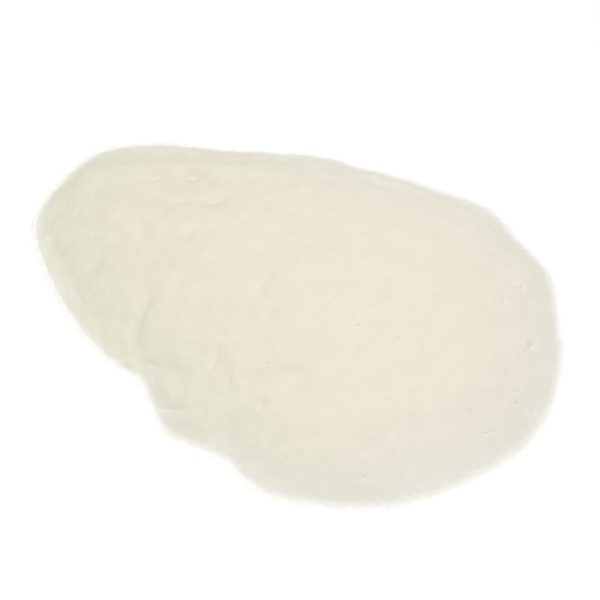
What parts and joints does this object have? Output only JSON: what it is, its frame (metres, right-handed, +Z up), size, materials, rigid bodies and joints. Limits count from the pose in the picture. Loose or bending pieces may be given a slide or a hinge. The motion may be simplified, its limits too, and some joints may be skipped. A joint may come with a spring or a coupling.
{
  "type": "heap of citric acid powder",
  "caption": "Low uneven heap of fine off-white citric acid powder, spilled on a flat surface with a thin lobe to one side.",
  "frame": {"origin": "centre of the heap's bounding box, on the flat underside that rests on the surface", "axes": "+X along the heap's length, from the thin lobe towards the main mound; +Y towards the far side in the picture; +Z up"},
  "size_m": [0.1058, 0.0922, 0.0113],
  "materials": {
    "citric_acid": "matte off-white crystalline powder with sparse small glints"
  },
  "bodies": {
    "root": {"citric_acid_heap": "citric_acid"}
  },
  "joints": []
}
